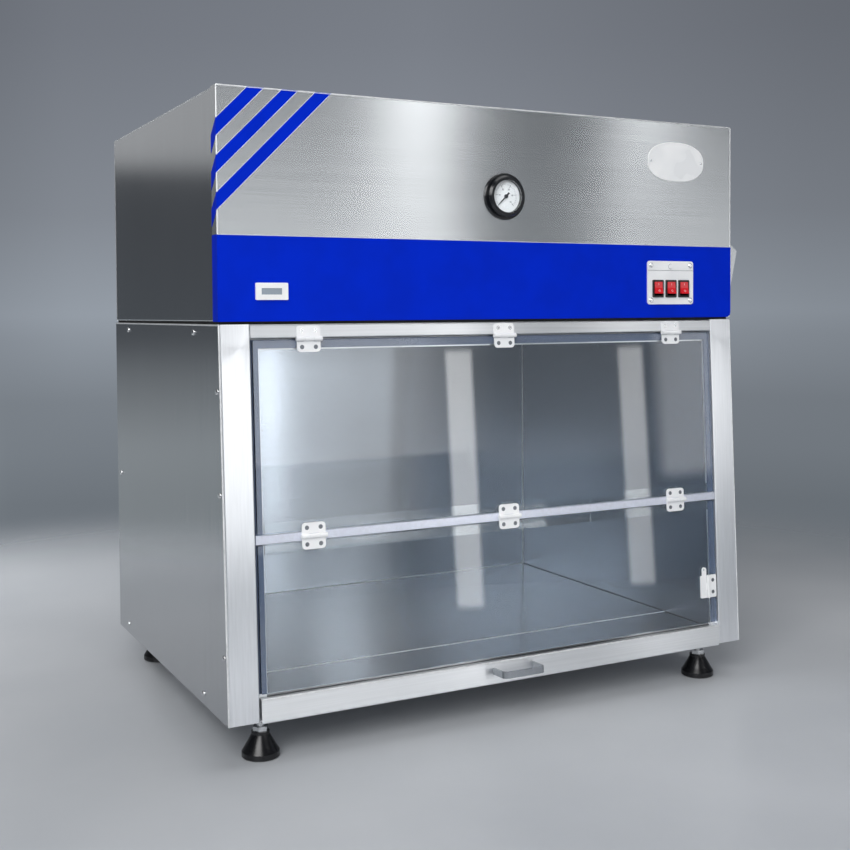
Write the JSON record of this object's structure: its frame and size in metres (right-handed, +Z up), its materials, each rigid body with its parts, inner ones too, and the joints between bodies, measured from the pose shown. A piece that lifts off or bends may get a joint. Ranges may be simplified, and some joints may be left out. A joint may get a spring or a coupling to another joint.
{
  "type": "bench-top clean work cabinet",
  "caption": "Stainless bench-top cabinet: blower and filter housing over a closed work chamber with a bi-fold clear front and a pull-out spill tray.",
  "frame": {"origin": "middle of the bounding box on the plane of the foot soles", "axes": "+X to the right seen from the front, +Y from the front to the back, +Z up"},
  "size_m": [0.9422, 0.663, 0.9448],
  "materials": {
    "stainless_satin": "satin stainless sheet, fine vertical grain",
    "stainless_side": "satin stainless sheet of the side walls",
    "stainless_inside": "smooth stainless chamber lining",
    "blue_film": "saturated blue adhesive film, semi-gloss",
    "white_enamel": "white powder coat",
    "galvanised": "galvanised sheet",
    "motor_paint": "dark grey enamel",
    "wheel_metal": "plain aluminium",
    "filter_paper": "pleated filter paper in its frame",
    "pad_fibre": "white fibre pad",
    "black_gloss": "moulded black, semi-gloss",
    "black_matte": "moulded black, fine matte",
    "dial_white": "white dial card",
    "gauge_clear": "clear window",
    "pointer_black": "black painted pointer",
    "sheet_clear": "clear acrylic sheet, polished edges",
    "rubber_black": "black rubber",
    "gasket_grey": "blue-grey soft seal",
    "hinge_nickel": "satin nickel plate",
    "screw_nickel": "bright nickel plate",
    "lamp_glass": "white coated lamp glass",
    "white_gloss": "moulded white, semi-gloss",
    "rocker_red": "clear red moulded rocker, glossy",
    "holder_white": "white moulded lamp holder"
  },
  "bodies": {
    "cabinet": {"upper_fascia": "stainless_satin", "upper_shell": "stainless_satin", "upper_back_panel": "stainless_satin", "blue_films": "blue_film", "blower_deck": "galvanised", "prefilter_grille": "stainless_satin", "prefilter_pad": "pad_fibre", "filter_pack": "filter_paper", "blower_scroll": "galvanised", "blower_motor": "motor_paint", "gauge_case": "black_gloss", "gauge_dial": "dial_white", "gauge_glass": "gauge_clear", "hour_meter": "white_gloss", "switch_plate": "white_gloss", "rocker_frames": "black_matte", "side_hood": "stainless_side", "mains_inlet": "black_matte", "cabinet_screws": "screw_nickel", "seam_gasket": "rubber_black", "side_panel_left": "stainless_side", "side_panel_right": "stainless_side", "front_post_left": "stainless_satin", "front_post_right": "stainless_satin", "top_rail": "stainless_satin", "stop_gasket": "gasket_grey", "chamber_liner": "stainless_inside", "base_frame": "stainless_side", "work_surface_front": "stainless_inside", "work_surface_rear": "stainless_inside", "diffuser_grille": "white_enamel", "lamp_tubes": "lamp_glass", "lamp_holders": "holder_white", "top_hinges": "hinge_nickel"},
    "upper_sash": {"upper_pane": "sheet_clear", "mid_rail": "white_enamel", "closing_strip": "sheet_clear", "upper_sash_hinges": "hinge_nickel", "upper_sash_screws": "screw_nickel"},
    "lower_sash": {"lower_pane": "sheet_clear", "lower_sash_hinges": "hinge_nickel", "lower_sash_screws": "screw_nickel", "latch_plate": "hinge_nickel"},
    "latch_hasp": {"latch_flap": "hinge_nickel"},
    "tray": {"spill_tray": "stainless_satin", "tray_handle": "stainless_satin"},
    "rocker_a": {"rocker_left": "rocker_red"},
    "rocker_b": {"rocker_middle": "rocker_red"},
    "rocker_c": {"rocker_right": "rocker_red"},
    "pointer": {"gauge_pointer": "pointer_black"},
    "impeller": {"blower_impeller": "wheel_metal"},
    "leveller_front_left": {"foot_front_left": "black_gloss", "foot_stud_front_left": "screw_nickel"},
    "leveller_front_right": {"foot_front_right": "black_gloss", "foot_stud_front_right": "screw_nickel"},
    "leveller_rear_left": {"foot_rear_left": "black_gloss", "foot_stud_rear_left": "screw_nickel"},
    "leveller_rear_right": {"foot_rear_right": "black_gloss", "foot_stud_rear_right": "screw_nickel"}
  },
  "joints": [
    {"name": "upper_sash_hinge", "type": "hinge", "parent": "cabinet", "child": "upper_sash", "pos_m": [-0.0112, -0.27546, 0.59298], "axis": [-1, 0, 0], "range_deg": [0, 100]},
    {"name": "lower_sash_hinge", "type": "hinge", "parent": "upper_sash", "child": "lower_sash", "pos_m": [-0.0112, -0.28812, 0.31346], "axis": [-1, 0, 0], "range_deg": [0, 172]},
    {"name": "latch_hinge", "type": "hinge", "parent": "lower_sash", "child": "latch_hasp", "pos_m": [0.3784, -0.29419, 0.16158], "axis": [0, 0.0452, 0.999], "range_deg": [0, 170]},
    {"name": "tray_slide", "type": "slide", "parent": "cabinet", "child": "tray", "axis": [0, -1, 0], "range_m": [0, 0.3]},
    {"name": "rocker_a_tilt", "type": "hinge", "parent": "cabinet", "child": "rocker_a", "pos_m": [0.2873, -0.26935, 0.666], "axis": [1, 0, 0], "range_deg": [0, 20]},
    {"name": "rocker_b_tilt", "type": "hinge", "parent": "cabinet", "child": "rocker_b", "pos_m": [0.3143, -0.26935, 0.666], "axis": [1, 0, 0], "range_deg": [0, 20]},
    {"name": "rocker_c_tilt", "type": "hinge", "parent": "cabinet", "child": "rocker_c", "pos_m": [0.3413, -0.26935, 0.666], "axis": [1, 0, 0], "range_deg": [0, 20]},
    {"name": "pointer_turn", "type": "hinge", "parent": "cabinet", "child": "pointer", "pos_m": [-0.0087, -0.2751, 0.807], "axis": [0, 1, 0], "range_deg": [0, 270], "stiffness_Nm_per_rad": 0.0002},
    {"name": "impeller_spin", "type": "hinge", "parent": "cabinet", "child": "impeller", "pos_m": [-0.0112, 0.0589, 0.8492], "axis": [1, 0, 0], "continuous": true},
    {"name": "level_front_left", "type": "slide", "parent": "cabinet", "child": "leveller_front_left", "axis": [0, 0, -1], "range_m": [0, 0.015]},
    {"name": "level_front_right", "type": "slide", "parent": "cabinet", "child": "leveller_front_right", "axis": [0, 0, -1], "range_m": [0, 0.015]},
    {"name": "level_rear_left", "type": "slide", "parent": "cabinet", "child": "leveller_rear_left", "axis": [0, 0, -1], "range_m": [0, 0.015]},
    {"name": "level_rear_right", "type": "slide", "parent": "cabinet", "child": "leveller_rear_right", "axis": [0, 0, -1], "range_m": [0, 0.015]}
  ]
}
